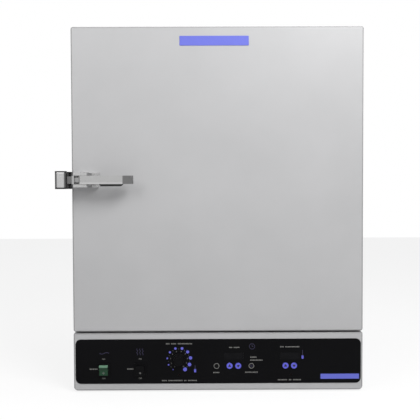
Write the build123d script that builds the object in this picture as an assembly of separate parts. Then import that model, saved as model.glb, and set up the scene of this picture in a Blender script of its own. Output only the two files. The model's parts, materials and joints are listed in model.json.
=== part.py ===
from build123d import *
import os

os.makedirs("parts", exist_ok=True)

# Cabinet and door, in millimetres: X to the right, Y to the rear, Z up
width = 660.0
body_depth = 520.0
door_height = 690.0
door_depth = 54.0
panel_height = 132.0
reveal = 3.5
lip_height = 3.0
foot_height = 10.0
foot_inset = 60.0
foot_rows = (75.0, 450.0)
seam = 6.0
top_step = 2.0
sheet = 1.2
bend = 3.0
door_corner = 5.0
panel_low_corner = 9.0
panel_high_corner = 3.0
flange = 22.0
touch_gap = 0.3
shaft_gap = 0.05

# Heating chamber
chamber_width = 457.0
chamber_height = 508.0
chamber_depth = 406.0
chamber_corner = 12.0
deck_height = 168.0
plenum_height = 40.0

# Wire shelves and what carries them
shelf_slots = (4, 9)
shelf_side_gap = 2.5
shelf_depth = 370.0
rim_wire = 6.0
cross_wire = 3.2
cross_wires = 13
standard_width = 16.0
standard_depth = 6.0
standard_inset = 62.0
slot_pitch = 34.0
clip_reach = 11.0

# Heater
heater_tube = 8.0
heater_passes = 4
heater_pitch = 36.0
heater_length = 300.0
heater_inner = 24.0
heater_front = 50.0
heater_rise = 18.0
rail_inset = 34.0
bracket_in = 60.0

# Exhaust and fresh air
exhaust_y = 300.0
exhaust_bore = 21.0
tube_wall = 1.5
vent_radius = 36.0
vent_holes = 4
intake_y = 330.0

# Control panel
overlay_width = 651.0
overlay_height = 102.0
overlay_low = 16.0
overlay_corner = 12.0
overlay_sheet = 0.8
panel_sheet = 1.5
overlay_middle = lip_height + overlay_low + overlay_height / 2
switch_width = 28.0
switch_height = 31.0
rocker_width = 19.2
rocker_radius = 11.8
rocker_tilt = 12.0
power_switch_place = 64.0
timer_switch_place = 147.3
switch_drop = 19.5
dial_place = 235.6
dial_rise = 4.1
knob_radius = 13.8
knob_height = 15.0
button_radius = 6.9
button_travel = 0.6
button_proud = 1.0
button_drop = 10.8
lamp_radius = 2.5
lamp_drop = 31.7
timer_display_place = 361.0
temperature_display_place = 489.1
second_lamp_place = 491.7
display_rise = 11.4
display_width = 44.0
display_height = 15.0
board_gap = 16.0
board_end = 25.0
board_sheet = 1.6
inlet_x = -230.0
inlet_z = 70.0
inlet_width = 32.0
inlet_height = 24.0
inlet_proud = 3.0

# Temperature probes, each as a place in the front view
probe_radius = 3.0
temperature_reach = 60.0
limit_reach = 45.0
probe_places = ((-40.0, 650.0), (40.0, 650.0))

# Door hinges
hinge_height = 64.0
hinge_inset = 80.0
barrel_radius = 4.0
hinge_pin_radius = 2.4
leaf_sheet = 2.0
leaf_length = 30.0
knuckle_gap = 0.4

# Latch, measured from the door's left edge and front face
latch_rise = 0.6
latch_left = 8.0
latch_right = 62.0
pivot_in = 29.0
pivot_out = 28.0
pivot_radius = 3.0
lever_height = 18.6
ear_gap = 0.5
ear_sheet = 6.5
lever_front = 47.0
lever_bend = 120.0
lever_end = 142.3
lever_left = 23.5
ear_front = 40.0
lever_wall = 2.4
bolt_width = 8.0
bolt_height = 16.0
bolt_tip = -10.0
bolt_head_left = 7.0
bolt_head = 5.5
bolt_fork = 50.0
bolt_travel = 8.0
strike_left = -31.0
strike_lip = -5.0
strike_height = 40.0
strike_wall = 6.5
strike_round = 5.0
strike_base = 6.0
strike_front = 8.0
lip_clearance = 0.5

# Planes that follow from the sizes
front_y = -(seam + door_depth)
panel_top = lip_height + panel_height
door_bottom = panel_top + reveal
door_top = door_bottom + door_height
body_top = door_top - top_step
half = width / 2
inner_half = half - sheet
chamber_low = (door_bottom + door_top - chamber_height) / 2
chamber_high = chamber_low + chamber_height
chamber_half = chamber_width / 2
chamber_front = sheet
chamber_back = chamber_front + chamber_depth
floor_top = chamber_low + plenum_height
plug_rear = 10.0
inside_front = plug_rear + 5
overlay_y = front_y - overlay_sheet
panel_back = front_y + panel_sheet
overlay_left = -overlay_width / 2
power_switch_x = overlay_left + power_switch_place
timer_switch_x = overlay_left + timer_switch_place
dial_x = overlay_left + dial_place
timer_display_x = overlay_left + timer_display_place
temperature_display_x = overlay_left + temperature_display_place
board_left = timer_display_x - display_width - board_end
board_right = temperature_display_x + display_width / 2 + board_end
heater_z = chamber_low + heater_rise
heater_outer = heater_inner + (heater_passes - 1) * heater_pitch
heater_terminals = (-heater_outer, -heater_inner, heater_inner, heater_outer)
terminal_y = body_depth - 12
web_x = chamber_half - standard_depth
first_slot = floor_top + 40
latch_z = (door_bottom + door_top) / 2 + latch_rise
hinge_x = half + barrel_radius + 0.2
hinge_y = -seam / 2
door_left = -half

# The row's origin is under the middle of the closed oven, latch and hinges included
reach_left = half - strike_left
reach_right = hinge_x + barrel_radius
reach_front = lever_front - front_y
reach_rear = body_depth + inlet_proud
shift = Pos((reach_left - reach_right) / 2, (reach_front - reach_rear) / 2, 0)


def save(name, *solids):
    """Write one piece as a STEP file, placed about the row's origin."""
    placed = [shift * solid for shape in solids for solid in shape.solids()]
    whole = placed[0] if len(placed) == 1 else Compound(placed)
    export_step(whole, f"parts/{name}.step")


def block(x, y, z):
    """A box between two limits on each axis."""
    size = [high - low for low, high in (x, y, z)]
    middle = [(high + low) / 2 for low, high in (x, y, z)]
    return Pos(*middle) * Box(*size)


def rod(start, end, radius):
    """A round bar from one point to another."""
    axis = Vector(*end) - Vector(*start)
    align = (Align.CENTER, Align.CENTER, Align.MIN)
    return Plane(origin=start, z_dir=axis) * Cylinder(radius, axis.length, align=align)


def tube(start, end, outer, bore):
    """A round tube from one point to another."""
    return rod(start, end, outer) - rod(start, end, bore)


def upright(sketch, y):
    """A shape drawn in the front view, made as thick as the two limits on Y."""
    return Pos(0, y[1], 0) * extrude(Plane.XZ * sketch, y[1] - y[0])


def sideways(sketch, x):
    """A shape drawn in the side view, Y across and Z up, made as wide as the two limits on X."""
    return Pos(x[0], 0, 0) * extrude(Plane.YZ * sketch, x[1] - x[0])


def lying(sketch, z):
    """A shape drawn in the top view, made as high as the two limits on Z."""
    return Pos(0, 0, z[0]) * extrude(sketch, z[1] - z[0])


def pattern(spots, shape):
    """One flat shape repeated at each place."""
    return Sketch() + [spot * shape for spot in spots]


def outline(x, z, low_corner, high_corner):
    """A front view rectangle with its own corner radius below and above."""
    shape = Pos((x[0] + x[1]) / 2, (z[0] + z[1]) / 2) * Rectangle(x[1] - x[0], z[1] - z[0])
    if low_corner > 0:
        shape = fillet(shape.vertices().sort_by(Axis.Y)[:2], low_corner)
    if high_corner > 0:
        shape = fillet(shape.vertices().sort_by(Axis.Y)[-2:], high_corner)
    return shape


def formed(x, y, z, low_corner, high_corner, edge):
    """A block whose front edges are rounded as a sheet is bent."""
    solid = upright(outline(x, z, low_corner, high_corner), y)
    front = solid.faces().sort_by(Axis.Y)[0]
    return fillet(front.edges(), edge)


def pan(x, y, z, wall, low_corner, high_corner, edge):
    """A tray of formed sheet, open to the rear."""
    outer = formed(x, y, z, low_corner, high_corner, edge)
    inner_x = (x[0] + wall, x[1] - wall)
    inner_z = (z[0] + wall, z[1] - wall)
    inner_y = (y[0] + wall, y[1] + wall)
    radii = (low_corner - wall, high_corner - wall, edge - wall)
    return outer - formed(inner_x, inner_y, inner_z, *radii)


def chamber_outline(spare):
    """The chamber's front view, larger all round by a given amount."""
    x = (-chamber_half - spare, chamber_half + spare)
    z = (chamber_low - spare, chamber_high + spare)
    return outline(x, z, chamber_corner + spare, chamber_corner + spare)


def tube_window(y, z):
    """The square window in a sheet that an air tube passes through, just touching its four sides."""
    reach = exhaust_bore + tube_wall + shaft_gap
    return block((-reach, reach), (y - reach, y + reach), z)


def outer_wrap():
    """One sheet folded over both sides and the top."""
    outer = outline((-half, half), (foot_height, body_top), 0, 2 * bend)
    inner = outline((-inner_half, inner_half), (0, body_top - sheet), 0, 2 * bend - sheet)
    shell = upright(outer, (0, body_depth)) - upright(inner, (-1, body_depth + 1))
    return shell - tube_window(exhaust_y, (body_top - flange, door_top))


def base_pan():
    """The floor of the cabinet, with turned up edges and air slots."""
    x = (-inner_half, inner_half)
    y = (0, body_depth - sheet)
    floor_low = foot_height
    outer = block(x, y, (floor_low, floor_low + flange))
    inner_x = (x[0] + sheet, x[1] - sheet)
    inner = block(inner_x, (y[0] + sheet, y[1] - sheet), (floor_low + sheet, door_top))
    slots = Pos(0, body_depth / 2) * pattern(GridLocations(110, 22, 4, 5), Rectangle(70, 6))
    return outer - inner - lying(slots, (0, floor_low + 2 * sheet))


def back_panel():
    """The rear sheet, with louvre slots and the holes for the inlet and probes."""
    y = (body_depth - sheet, body_depth)
    plate = outline((-inner_half, inner_half), (foot_height, body_top - sheet), 0, 2 * bend)
    slots = Pos(120, 90) * pattern(GridLocations(0, 14, 1, 6), Rectangle(160, 5))
    inlet = Pos(inlet_x, inlet_z) * Rectangle(inlet_width, inlet_height)
    return upright(plate - slots - inlet, y)


def face_frame():
    """The front sheet around the chamber's mouth, where the gasket seals."""
    x = (-inner_half, inner_half)
    plate = outline(x, (panel_top - flange, body_top - sheet), 0, 2 * bend - sheet)
    return upright(plate - chamber_outline(0), (0, sheet))


def deck_plate():
    """The shelf inside the cabinet that carries the chamber and parts it from the controls."""
    y = (sheet, body_depth - sheet)
    x = (-inner_half, inner_half)
    plate = block(x, y, (deck_height - sheet, deck_height))
    lip = block(x, (sheet, 2 * sheet), (deck_height - flange, deck_height - sheet))
    return plate + lip - tube_window(intake_y, (0, deck_height))


def chamber_liner():
    """The inner box, open at the front, with coved long edges."""
    depth = (chamber_front, chamber_back + sheet)
    shell = upright(chamber_outline(sheet), depth)
    shell -= upright(chamber_outline(0), (0, chamber_back))
    shell -= tube_window(exhaust_y, (chamber_high - 1, chamber_high + 3))
    shell -= tube_window(intake_y, (chamber_low - 3, chamber_low + 1))
    for x, z in probe_places:
        shell -= rod((x, chamber_back - 1, z), (x, chamber_back + 3, z), probe_radius + shaft_gap)
    for x in heater_terminals:
        hole = heater_tube / 2 + touch_gap
        shell -= rod((x, chamber_back - 1, heater_z), (x, chamber_back + 3, heater_z), hole)
    return shell


def insulation():
    """Mineral wool that fills the space between the chamber and the cabinet."""
    y = (2 * sheet, body_depth - sheet - 20)
    around = outline((-inner_half, inner_half), (deck_height, body_top - sheet), 0, 2 * bend)
    wool = upright(around, y)
    wool -= upright(chamber_outline(sheet), (0, chamber_back + sheet))
    vent = exhaust_bore + tube_wall + touch_gap
    wool -= rod((0, exhaust_y, chamber_high), (0, exhaust_y, body_top), vent)
    wool -= rod((0, intake_y, deck_height), (0, intake_y, chamber_low), vent)
    for x, z in probe_places:
        wool -= rod((x, chamber_back, z), (x, body_depth, z), probe_radius + touch_gap)
    for x in heater_terminals:
        hole = heater_tube / 2 + touch_gap
        wool -= rod((x, chamber_back, heater_z), (x, body_depth, heater_z), hole)
    return wool


def chamber_floor():
    """The slotted plate over the heaters, with its sides turned down."""
    x = (-chamber_half + 1.5, chamber_half - 1.5)
    y = (inside_front, chamber_back - 6)
    plate = block(x, y, (chamber_low + chamber_corner, floor_top))
    inner_x = (x[0] + sheet, x[1] - sheet)
    plate -= block(inner_x, (0, body_depth), (0, floor_top - sheet))
    slots = Pos(0, (y[0] + y[1]) / 2) * pattern(GridLocations(60, 30, 6, 11), Rectangle(44, 7))
    return plate - lying(slots, (floor_top - 2 * sheet, floor_top + 1))


def floor_supports():
    """Two angle rails that hold the chamber floor and the heater brackets."""
    y = (inside_front, chamber_back - 6)
    rails = []
    for side in (-1, 1):
        foot_x = sorted((side * (chamber_half - chamber_corner - 2), side * (chamber_half - rail_inset)))
        wall_x = sorted((side * (chamber_half - rail_inset), side * (chamber_half - rail_inset - sheet)))
        foot = block(foot_x, y, (chamber_low, chamber_low + sheet))
        rails.append(foot + block(wall_x, y, (chamber_low, floor_top - sheet)))
    return rails


def heater_element(side):
    """A sheathed rod bent to and fro, with both ends out through the rear wall."""
    first = side * heater_inner
    turn = heater_pitch / 2
    front = heater_front
    rear = heater_front + heater_length
    path = Line((first, terminal_y, heater_z), (first, front + turn, heater_z))
    x = first
    y = front + turn
    for row in range(heater_passes - 1):
        toward = -1 if row % 2 == 0 else 1
        far = x + side * heater_pitch
        middle = (x + side * turn, y + toward * turn, heater_z)
        path += ThreePointArc((x, y, heater_z), middle, (far, y, heater_z))
        x = far
        last = row == heater_passes - 2
        goal = terminal_y if last else (rear - turn if toward < 0 else front + turn)
        path += Line((x, y, heater_z), (x, goal, heater_z))
        y = goal
    start = Plane(origin=(first, terminal_y, heater_z), z_dir=(0, -1, 0))
    return sweep(start * Circle(heater_tube / 2), path=path)


def heater_brackets():
    """Strips with a round notch for each pass of the heating rods."""
    strips = []
    for y in (heater_front + bracket_in, heater_front + heater_length - bracket_in):
        reach = chamber_half - rail_inset - sheet
        strip = block((-reach, reach), (y, y + sheet), (chamber_low, heater_z + 3))
        for side in (-1, 1):
            for row in range(heater_passes):
                x = side * (heater_inner + row * heater_pitch)
                notch = heater_tube / 2 + shaft_gap
                strip -= rod((x, y - 1, heater_z), (x, y + 3, heater_z), notch)
                strip -= block((x - notch, x + notch), (y - 1, y + 3), (heater_z, floor_top))
        strips.append(strip)
    return strips


def shelf_level(slot):
    """The height that a shelf lies at when its clips hook into a given slot."""
    return first_slot + slot * slot_pitch


def standard_ys():
    """Where the front and rear shelf standards stand."""
    return chamber_front + standard_inset, chamber_back - standard_inset


def shelf_standards():
    """Four slotted channels screwed to the side walls."""
    standards = []
    z = (floor_top + 2, chamber_high - chamber_corner - 2)
    count = int((z[1] - first_slot - slot_pitch / 2) / slot_pitch) + 1
    for side in (-1, 1):
        for y in standard_ys():
            middle = side * (chamber_half - standard_depth / 2)
            outer = Pos(middle, y) * Rectangle(standard_depth, standard_width)
            hollow = Pos(middle + side * sheet, y) * Rectangle(standard_depth, standard_width - 2 * sheet)
            channel = lying(outer - hollow, z)
            for row in range(count):
                level = shelf_level(row)
                web = sorted((side * (web_x - 1), side * (web_x + sheet + 0.5)))
                channel -= block(web, (y - 5.4, y + 5.4), (level - 9, level + 2))
            standards.append(channel)
    return standards


def shelf_clip(side, y, level):
    """A hook that hangs in a slot and holds the shelf's rim on its arm."""
    inner = web_x - clip_reach
    behind = web_x + sheet
    points = [(inner, level), (inner, level - 2), (web_x - 2, level - 11), (web_x, level - 11)]
    points += [(web_x, level - 3.5), (behind + 0.2, level - 3.5), (behind + 0.2, level - 8)]
    points += [(behind + 1.6, level - 8), (behind + 1.6, level - 0.5), (web_x, level - 0.5), (web_x, level)]
    face = make_face(Polyline([(side * x, z) for x, z in points], close=True).edges())
    return upright(face, (y - 5, y + 5))


def wire_shelf(slot):
    """A rim of thick wire, two stiffeners and thin wires welded across them from front to rear."""
    level = shelf_level(slot) + rim_wire / 2
    reach_x = web_x - shelf_side_gap - rim_wire / 2
    front = inside_front + rim_wire
    back = front + shelf_depth
    middle = (front + back) / 2
    ring = Pos(0, middle, level) * RectangleRounded(2 * reach_x, shelf_depth, 16)
    wire = ring.wires()[0]
    start = Plane(origin=wire @ 0, z_dir=wire % 0)
    shelf = sweep(start * Circle(rim_wire / 2), path=wire)
    for y in (middle - shelf_depth / 6, middle + shelf_depth / 6):
        shelf += rod((-reach_x, y, level), (reach_x, y, level), rim_wire / 2 - 0.2)
    top = level + rim_wire / 2 + cross_wire / 2 - 0.8
    spacing = 2 * reach_x / (cross_wires + 1)
    for row in range(1, cross_wires + 1):
        x = -reach_x + row * spacing
        shelf += rod((x, front - 1.5, top), (x, back + 1.5, top), cross_wire / 2)
    return shelf


def probe(place, reach):
    """A sheathed sensor through the chamber's rear wall, held by a collar inside."""
    x, z = place
    sheath = rod((x, chamber_back - reach, z), (x, terminal_y, z), probe_radius)
    tip = sheath.faces().sort_by(Axis.Y)[0]
    sheath = fillet(tip.edges(), probe_radius * 0.6)
    return sheath + rod((x, chamber_back - 5, z), (x, chamber_back, z), 2.2 * probe_radius)


def exhaust_tube():
    """The flue from the chamber's ceiling to the top of the cabinet."""
    outer = exhaust_bore + tube_wall
    return tube((0, exhaust_y, chamber_high), (0, exhaust_y, body_top + 4), outer, exhaust_bore)


def intake_tube():
    """The fresh air tube from the control space to the chamber's floor."""
    outer = exhaust_bore + tube_wall
    return tube((0, intake_y, deck_height - 12), (0, intake_y, chamber_low), outer, exhaust_bore)


def vent_ring_holes():
    """The round holes that the vent cover and its damper share."""
    return pattern(PolarLocations(exhaust_bore * 0.6, vent_holes), Circle(exhaust_bore * 0.31))


def vent_cover():
    """A flanged cap on the cabinet's top, with round holes over the flue."""
    rise = 10.0
    flange_ring = Circle(vent_radius + 8) - Circle(exhaust_bore + tube_wall + shaft_gap)
    cap = lying(flange_ring, (body_top, body_top + 1.5))
    cap += lying(Circle(vent_radius) - Circle(vent_radius - 1.5), (body_top + 1.5, body_top + rise))
    lid = Circle(vent_radius) - vent_ring_holes() - Circle(2.5 + shaft_gap)
    cap += lying(lid, (body_top + rise - 1.5, body_top + rise))
    return Pos(0, exhaust_y, 0) * cap


def vent_damper():
    """The turning disc that opens and closes the vent holes, with a finger tab."""
    low = body_top + 10 + touch_gap
    disc = Circle(vent_radius - 8) - vent_ring_holes() - Circle(2.5 + shaft_gap)
    damper = lying(disc, (low, low + 1.5))
    tab = block((-1, 1), (-vent_radius + 8.5, -exhaust_bore), (low + 1.5, low + 10))
    return Pos(0, exhaust_y, 0) * (damper + tab)


def vent_screw():
    """The shoulder screw that the damper turns on."""
    top = body_top + 10 + 2 * touch_gap + 1.5
    shank = rod((0, exhaust_y, body_top + 5), (0, exhaust_y, top), 2.5)
    return shank + rod((0, exhaust_y, top), (0, exhaust_y, top + 2.4), 5)


def button_places():
    """The six keys, each placed beside the display that it belongs to."""
    return {
        "reset_button": timer_display_x - 39.7,
        "timer_up_button": timer_display_x - 9.8,
        "timer_down_button": timer_display_x + 9.8,
        "start_button": timer_display_x + 40.0,
        "temperature_up_button": temperature_display_x - 10.2,
        "temperature_down_button": temperature_display_x + 9.2,
    }


def lamp_xs():
    """The two signal lamps, under the dial and under the temperature display."""
    return dial_x, overlay_left + second_lamp_place


def panel_openings():
    """Every opening that the overlay and the panel behind it share."""
    switches = [Pos(x, overlay_middle - switch_drop) for x in (power_switch_x, timer_switch_x)]
    cuts = [spot * Rectangle(switch_width - 3.4, switch_height - 3.4) for spot in switches]
    cuts.append(Pos(dial_x, overlay_middle + dial_rise) * Circle(5 + shaft_gap))
    for x in button_places().values():
        cuts.append(Pos(x, overlay_middle - button_drop) * Circle(button_radius + 0.2))
    for x in lamp_xs():
        cuts.append(Pos(x, overlay_middle - lamp_drop) * Circle(lamp_radius + shaft_gap))
    for x in (timer_display_x, temperature_display_x):
        cuts.append(Pos(x, overlay_middle + display_rise) * Rectangle(display_width, display_height))
    return cuts


def control_housing():
    """The formed front panel below the door, with a flanged window to the rear."""
    x = (-half, half)
    z = (lip_height, panel_top)
    shell = pan(x, (front_y, 0), z, panel_sheet, panel_low_corner, panel_high_corner, bend)
    back = outline((x[0] + panel_sheet, x[1] - panel_sheet), (z[0] + panel_sheet, z[1] - panel_sheet),
                   panel_low_corner - panel_sheet, panel_high_corner - panel_sheet)
    window = outline((x[0] + 14, x[1] - 14), (z[0] + flange + 8, z[1] - 12), 6, 6)
    shell += upright(back - window, (-panel_sheet, 0))
    for cut in panel_openings():
        shell -= upright(cut, (front_y - 1, panel_back + 1))
    for stud_x in (board_left + 6, board_right - 6):
        for stud_z in (overlay_middle - 17, overlay_middle + 21):
            shell += rod((stud_x, panel_back, stud_z), (stud_x, panel_back + board_gap, stud_z), 3)
    return shell


def control_overlay():
    """The dark faceplate bonded to the front panel."""
    x = (-overlay_width / 2, overlay_width / 2)
    z = (overlay_middle - overlay_height / 2, overlay_middle + overlay_height / 2)
    face = outline(x, z, overlay_corner, overlay_corner)
    for cut in panel_openings():
        face -= cut
    return upright(face, (overlay_y, front_y))


def display(x):
    """A display block that fills its window from the board to the faceplate."""
    middle = overlay_middle + display_rise
    wide = display_width / 2 - 0.1
    high = display_height / 2 - 0.1
    return block((x - wide, x + wide), (overlay_y, panel_back + board_gap), (middle - high, middle + high))


def switch_frame(x):
    """A rocker switch's bezel and hollow body, with a bearing in each side wall."""
    z = overlay_middle - switch_drop
    axis_y = overlay_y - 1
    bezel = Pos(x, z) * RectangleRounded(switch_width, switch_height, 2)
    body = Pos(x, z) * Rectangle(switch_width - 4, switch_height - 4)
    frame = upright(bezel, (overlay_y - 2, overlay_y)) + upright(body, (overlay_y, overlay_y + 16))
    well = Pos(x, z) * Rectangle(rocker_width + 0.6, 2 * rocker_radius + 0.6)
    frame -= upright(well, (overlay_y - 3, overlay_y + 13))
    reach = rocker_width / 2 + 1.9
    frame -= rod((x - reach, axis_y, z), (x + reach, axis_y, z), 1.2 + shaft_gap)
    for step in (-7, 0, 7):
        frame += block((x - 3, x + 3), (overlay_y + 16, overlay_y + 24), (z + step - 0.4, z + step + 0.4))
    return frame


def rocker(x):
    """A rocker with a hollowed face, its lower end pressed in, on two stub axles."""
    z = overlay_middle - switch_drop
    points = [(-6.5, 13), (-3.2, 0), (-6.5, -13), (5, -13), (5, 13)]
    face = make_face(Polyline(points, close=True).edges()) & Circle(rocker_radius)
    face = Pos(overlay_y - 1, z) * Rot(0, 0, rocker_tilt) * face
    solid = sideways(face, (x - rocker_width / 2, x + rocker_width / 2))
    reach = rocker_width / 2 + 1.6
    return solid + rod((x - reach, overlay_y - 1, z), (x + reach, overlay_y - 1, z), 1.2)


def limit_knob():
    """The dial knob, turned with a skirt, a tapered grip and finger flutes."""
    top = knob_height
    points = [(0, 0.5), (knob_radius, 0.5), (knob_radius, 3.5), (knob_radius - 2, 4.5)]
    points += [(knob_radius - 2.8, top - 1.5), (knob_radius - 4.3, top), (0, top)]
    profile = make_face(Polyline(points, close=True).edges())
    knob = revolve(Plane.XZ * profile, Axis.Z)
    flutes = pattern(PolarLocations(knob_radius - 0.6, 12), Circle(1.5))
    knob -= lying(flutes, (5, top + 1))
    knob -= rod((0, 0, 0), (0, 0, 9 + shaft_gap), 3 + shaft_gap)
    knob -= block((-0.6, 0.6), (knob_radius * 0.3, knob_radius), (top - 0.8, top + 1))
    spot = Pos(dial_x, overlay_y, overlay_middle + dial_rise)
    return spot * Rot(90, 0, 0) * knob


def limit_shaft():
    """The spindle that the knob is pressed on."""
    z = overlay_middle + dial_rise
    return rod((dial_x, overlay_y - 9, z), (dial_x, panel_back + 18, z), 3)


def limit_thermostat():
    """The over-temperature control behind the panel, with the bush that its spindle runs in."""
    z = overlay_middle + dial_rise
    low = (dial_x, overlay_y, z)
    can = rod((dial_x, panel_back, z), (dial_x, panel_back + 24, z), 17)
    can += rod(low, (dial_x, panel_back, z), 5)
    for side in (-1, 1):
        x = dial_x + side * 8
        can += block((x - 3, x + 3), (panel_back + 24, panel_back + 33), (z - 0.4, z + 0.4))
    return can - rod((dial_x, overlay_y - 1, z), (dial_x, panel_back + 19, z), 3 + shaft_gap)


def button(x):
    """A round key with a domed edge, a retaining flange and a stem to its switch."""
    z = overlay_middle - button_drop
    cap = rod((x, overlay_y - button_proud, z), (x, panel_back + shaft_gap, z), button_radius)
    rim = cap.faces().sort_by(Axis.Y)[0]
    cap = chamfer(rim.edges(), 0.4)
    cap += rod((x, panel_back + shaft_gap, z), (x, panel_back + 1, z), button_radius + 1.4)
    stem_end = panel_back + board_gap - 3.5 - button_travel - 0.1
    return cap + rod((x, panel_back + 1, z), (x, stem_end, z), 2)


def lamp(x):
    """A small signal lamp with a domed lens."""
    z = overlay_middle - lamp_drop
    lens = rod((x, overlay_y - 1, z), (x, panel_back + 6, z), lamp_radius)
    lens = chamfer(lens.faces().sort_by(Axis.Y)[0].edges(), lamp_radius * 0.4)
    return lens + rod((x, panel_back, z), (x, panel_back + 1, z), lamp_radius + 0.6)


def control_board():
    """The circuit board behind the panel, with a key switch behind each button."""
    y = (panel_back + board_gap, panel_back + board_gap + board_sheet)
    x = (board_left, board_right)
    board = block(x, y, (overlay_middle - 22, overlay_middle + 26))
    for place in button_places().values():
        z = overlay_middle - button_drop
        board += block((place - 3, place + 3), (y[0] - 3.5, y[0]), (z - 3, z + 3))
    for place in (0.2, 0.4, 0.6, 0.8):
        middle = x[0] + place * (x[1] - x[0])
        board += block((middle - 9, middle + 9), (y[1], y[1] + 9), (overlay_middle - 8, overlay_middle + 6))
    return board


def power_relay():
    """The heater relay on the base, under a finned heat sink."""
    low = foot_height + sheet
    body = block((110, 170), (200, 245), (low, low + 23))
    for row in range(7):
        x = 112 + row * 9
        body += block((x, x + 2.5), (200, 245), (low + 23, low + 50))
    return body + block((110, 170), (200, 245), (low + 23, low + 27))


def terminal_block():
    """The mains terminal block, with six wire cells."""
    low = foot_height + sheet
    body = block((-240, -156), (400, 424), (low, low + 12))
    for row in range(6):
        x = -238 + row * 14
        body += block((x, x + 10), (402, 422), (low + 12, low + 20))
        body -= rod((x + 5, 412, low + 14), (x + 5, 412, low + 21), 2.5)
    return body


def power_inlet():
    """The rear mains inlet: a flange, a recess and three flat pins."""
    rear = body_depth
    face = Pos(inlet_x, inlet_z) * RectangleRounded(inlet_width + 20, inlet_height + 8, 3)
    inlet = upright(face, (rear, rear + inlet_proud))
    body = Pos(inlet_x, inlet_z) * Rectangle(inlet_width - 0.2, inlet_height - 0.2)
    inlet += upright(body, (rear - 24, rear))
    recess = Pos(inlet_x, inlet_z) * RectangleRounded(inlet_width - 4, inlet_height - 4, 2)
    inlet -= upright(recess, (rear - 18, rear + inlet_proud + 1))
    for x, z in ((0, 4), (-8, -3), (8, -3)):
        pin = Pos(inlet_x + x, inlet_z + z) * Rectangle(2.2, 6)
        inlet += upright(pin, (rear - 18, rear - 3))
    return inlet


def foot(x, y):
    """A rubber foot, wider at the bench, with a recess for its screw."""
    points = [(0, 0), (18, 0), (18, 2), (15, foot_height), (0, foot_height)]
    pad = revolve(Plane.XZ * make_face(Polyline(points, close=True).edges()), Axis.Z)
    return Pos(x, y, 0) * (pad - rod((0, 0, -1), (0, 0, 4), 5))


def door_skin():
    """The outer door sheet, formed as a tray."""
    z = (door_bottom, door_top)
    return pan((-half, half), (front_y, -seam), z, sheet, door_corner, door_corner, bend)


def door_plug(spare):
    """The raised middle of the door's inner sheet, as a solid."""
    reach = 10 + spare
    x = (-chamber_half + reach, chamber_half - reach)
    z = (chamber_low + reach, chamber_high - reach)
    solid = upright(outline(x, z, chamber_corner, chamber_corner), (-seam - 2, plug_rear - spare))
    rear = solid.faces().sort_by(Axis.Y)[-1]
    return fillet(rear.edges(), 6 - spare)


def door_inner_panel():
    """The inner door sheet, pressed out where it enters the chamber."""
    x = (-inner_half, inner_half)
    z = (door_bottom + sheet, door_top - sheet)
    radius = door_corner - sheet
    flat = upright(outline(x, z, radius, radius), (-seam - sheet, -seam))
    flat -= upright(chamber_outline(-14), (-seam - 3, 0))
    raised = door_plug(0) - door_plug(sheet)
    raised -= block(x, (-door_depth, -seam - sheet), (0, door_top))
    return flat + raised


def door_insulation():
    """The mineral wool slab inside the door."""
    x = (-inner_half, inner_half)
    z = (door_bottom + sheet, door_top - sheet)
    radii = (door_corner - sheet, door_corner - sheet, bend - sheet)
    return formed(x, (front_y + sheet, -seam - sheet), z, *radii)


def door_gasket():
    """The soft seal that runs round the inner door sheet."""
    outer = chamber_outline(24)
    ring = upright(outer - chamber_outline(12), (-seam, -touch_gap - 0.1))
    rear = ring.faces().sort_by(Axis.Y)[-1]
    return fillet(rear.edges(), 3.5)


def hinge_levels():
    """The lower end of each door hinge."""
    return door_bottom + hinge_inset, door_top - hinge_inset - hinge_height


def screw_rows(low):
    """The heights of the two screws in a hinge leaf."""
    return low + hinge_height * 0.2, low + hinge_height * 0.8


def hinge_leaf(low, moving):
    """Half a door hinge: a flat leaf with knuckles rolled round the pin."""
    third = hinge_height / 3
    middle = (low + third + knuckle_gap, low + 2 * third - knuckle_gap)
    ends = [(low, low + third), (low + 2 * third, low + hinge_height)]
    own, other = ([middle], ends) if moving else (ends, [middle])
    toward = -1 if moving else 1
    y = sorted((hinge_y, hinge_y + toward * leaf_length))
    leaf = block((half, half + leaf_sheet), y, (low, low + hinge_height))
    for start, stop in other:
        span = [(hinge_x, hinge_y, start - knuckle_gap), (hinge_x, hinge_y, stop + knuckle_gap)]
        leaf -= rod(*span, barrel_radius + 0.4)
    for start, stop in own:
        leaf += rod((hinge_x, hinge_y, start), (hinge_x, hinge_y, stop), barrel_radius)
    bore = [(hinge_x, hinge_y, low - 1), (hinge_x, hinge_y, low + hinge_height + 1)]
    leaf -= rod(*bore, hinge_pin_radius + shaft_gap)
    screw_y = hinge_y + toward * leaf_length * 0.62
    for z in screw_rows(low):
        leaf -= rod((half + 0.8, screw_y, z), (half + leaf_sheet + 1, screw_y, z), 3.2)
    return leaf


def hinge_screws(moving):
    """Flush screw heads in the leaves of both hinges."""
    toward = -1 if moving else 1
    y = hinge_y + toward * leaf_length * 0.62
    rows = [z for low in hinge_levels() for z in screw_rows(low)]
    return [rod((half + 0.8, y, z), (half + leaf_sheet, y, z), 3.1) for z in rows]


def hinge_pin(low):
    """A hinge pin with a flat head on the upper knuckle."""
    top = low + hinge_height
    pin = rod((hinge_x, hinge_y, low), (hinge_x, hinge_y, top), hinge_pin_radius)
    return pin + rod((hinge_x, hinge_y, top), (hinge_x, hinge_y, top + 2), barrel_radius - 0.4)


def latch_plan(points):
    """A top view outline, from distances right of the door's edge and out from its front."""
    placed = [(door_left + x, front_y - out) for x, out in points]
    return make_face(Polyline(placed, close=True).edges())


def latch_slab(sketch, half_height):
    """A top view outline made into a slab about the latch's middle height."""
    return lying(sketch, (latch_z - half_height, latch_z + half_height))


def latch_pin(half_height, radius):
    """An upright bar on the lever's pivot."""
    x = door_left + pivot_in
    y = front_y - pivot_out
    return rod((x, y, latch_z - half_height), (x, y, latch_z + half_height), radius)


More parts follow.
